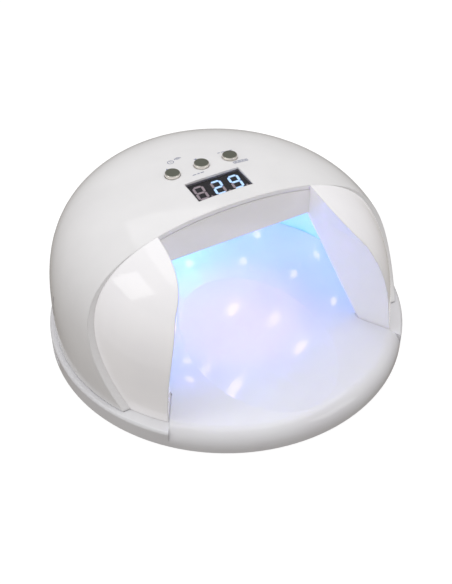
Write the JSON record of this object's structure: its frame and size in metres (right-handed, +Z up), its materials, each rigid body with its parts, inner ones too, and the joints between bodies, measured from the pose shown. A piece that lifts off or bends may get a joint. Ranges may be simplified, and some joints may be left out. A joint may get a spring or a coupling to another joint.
{
  "type": "uv curing lamp",
  "caption": "Dome-shaped tabletop UV curing lamp with a flared hand opening, raised hand rest, digital timer, press keys and a lift-off magnetic base plate.",
  "frame": {"origin": "centre of the round footprint, on the surface the lamp stands on", "axes": "+Z up, -Y to the front where the hand goes in, +X to the right seen from the front"},
  "size_m": [0.208, 0.208, 0.096],
  "materials": {
    "base_white": "gloss",
    "foot_rubber": "matt",
    "magnet_steel": "nickel plated",
    "hood_white": "gloss",
    "frame_white": "gloss",
    "reflector_white": "gloss",
    "keeper_steel": "zinc plated",
    "screw_steel": "zinc plated",
    "lens_clear": "clear",
    "led_board_alu": "satin",
    "sensor_black": "gloss",
    "board_green": "solder mask",
    "component_black": "matt",
    "display_black": "gloss",
    "segment_pale": "translucent",
    "window_smoke": "smoked",
    "switch_black": "matt",
    "inlet_black": "matt",
    "pin_brass": "plated",
    "nut_brass": "plated",
    "lead_red": "satin",
    "button_metal": "polished rim, satin top",
    "plunger_black": "matt"
  },
  "bodies": {
    "base": {"base_plate": "base_white", "base_feet": "foot_rubber", "base_magnets": "magnet_steel"},
    "housing": {"hood_shell": "hood_white", "front_frame": "frame_white", "reflector": "reflector_white", "keeper_discs": "keeper_steel", "housing_screws": "screw_steel", "led_lenses": "lens_clear", "led_boards": "led_board_alu", "hand_sensor": "sensor_black", "control_board": "board_green", "board_screws": "screw_steel", "board_parts": "component_black", "display_case": "display_black", "display_segments": "segment_pale", "display_window": "window_smoke", "tact_switches": "switch_black", "power_inlet": "inlet_black", "inlet_pin": "pin_brass", "inlet_nut": "nut_brass", "supply_lead": "lead_red"},
    "key_left": {"button_left": "button_metal", "plunger_left": "plunger_black"},
    "key_centre": {"button_centre": "button_metal", "plunger_centre": "plunger_black"},
    "key_right": {"button_right": "button_metal", "plunger_right": "plunger_black"}
  },
  "joints": [
    {"name": "housing_lift", "type": "slide", "parent": "base", "child": "housing", "axis": [0, 0, 1], "range_m": [0, 0.06]},
    {"name": "key_left_press", "type": "slide", "parent": "housing", "child": "key_left", "axis": [0, 0, -1], "range_m": [0, 0.0006], "stiffness_N_per_m": 1500},
    {"name": "key_centre_press", "type": "slide", "parent": "housing", "child": "key_centre", "axis": [0, 0, -1], "range_m": [0, 0.0006], "stiffness_N_per_m": 1500},
    {"name": "key_right_press", "type": "slide", "parent": "housing", "child": "key_right", "axis": [0, 0, -1], "range_m": [0, 0.0006], "stiffness_N_per_m": 1500}
  ]
}
